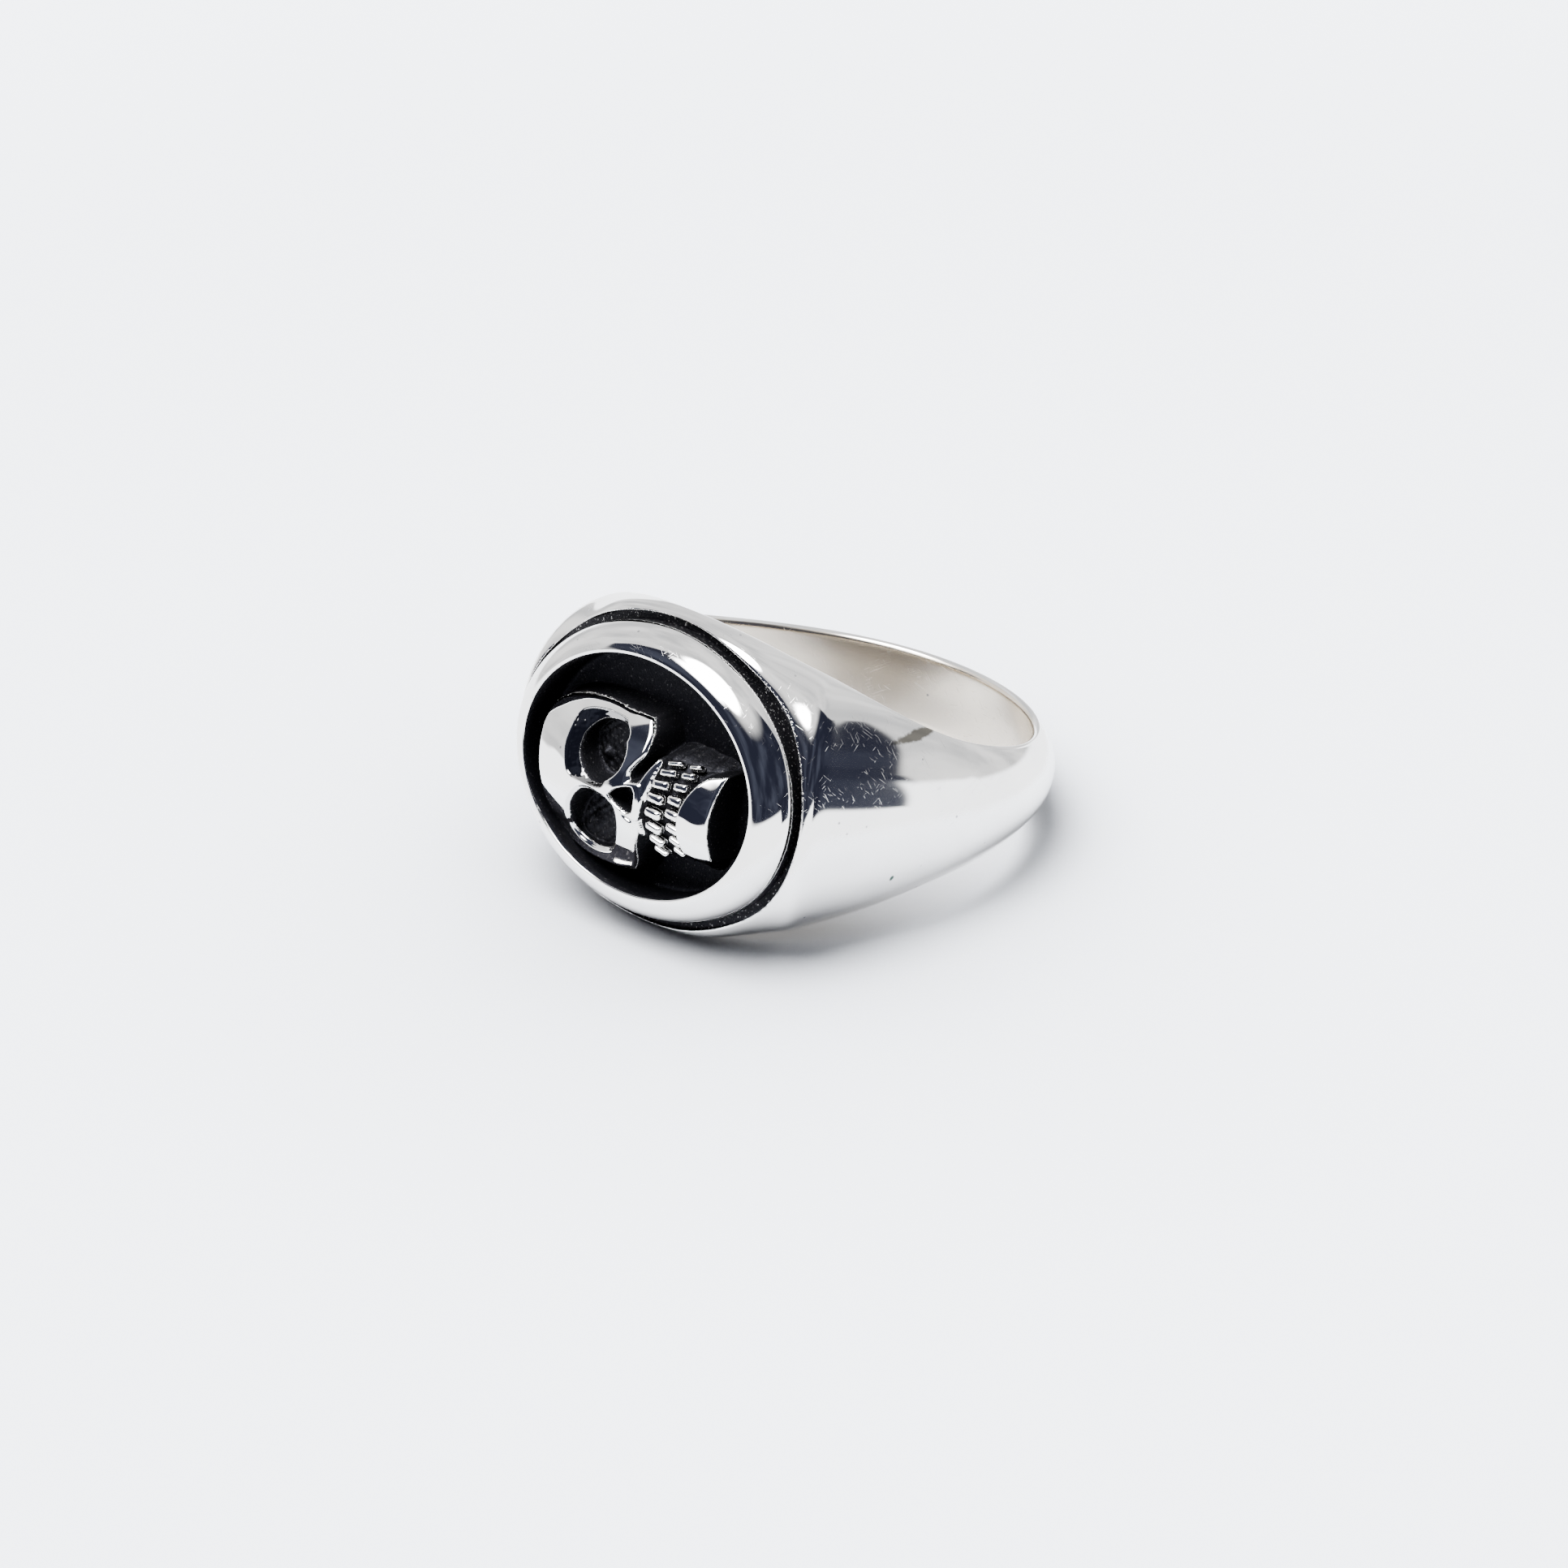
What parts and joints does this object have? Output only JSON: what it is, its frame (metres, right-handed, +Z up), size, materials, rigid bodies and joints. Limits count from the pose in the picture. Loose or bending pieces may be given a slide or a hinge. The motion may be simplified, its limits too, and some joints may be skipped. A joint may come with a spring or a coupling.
{
  "type": "skull ring",
  "caption": "Heavy silver finger ring: a skull in relief inside a deep oval recess with a raised rim, on a domed band that narrows to the back.",
  "frame": {"origin": "on the ground, under the middle of the ring as it lies on its side", "axes": "+Z up; the oval head with the skull faces -Y and slightly upward; +Y runs from the head to the back of the band; +X is toward the skull's chin"},
  "size_m": [0.0216, 0.024, 0.014],
  "materials": {
    "polished_silver": "polished sterling silver, bright, with many fine scratches from wear",
    "oxidised_silver": "silver blackened with sulphide, matt and slightly grainy, left in the recess, the groove and the hollows of the skull"
  },
  "bodies": {
    "root": {"skull_ring": "polished_silver"}
  },
  "joints": []
}
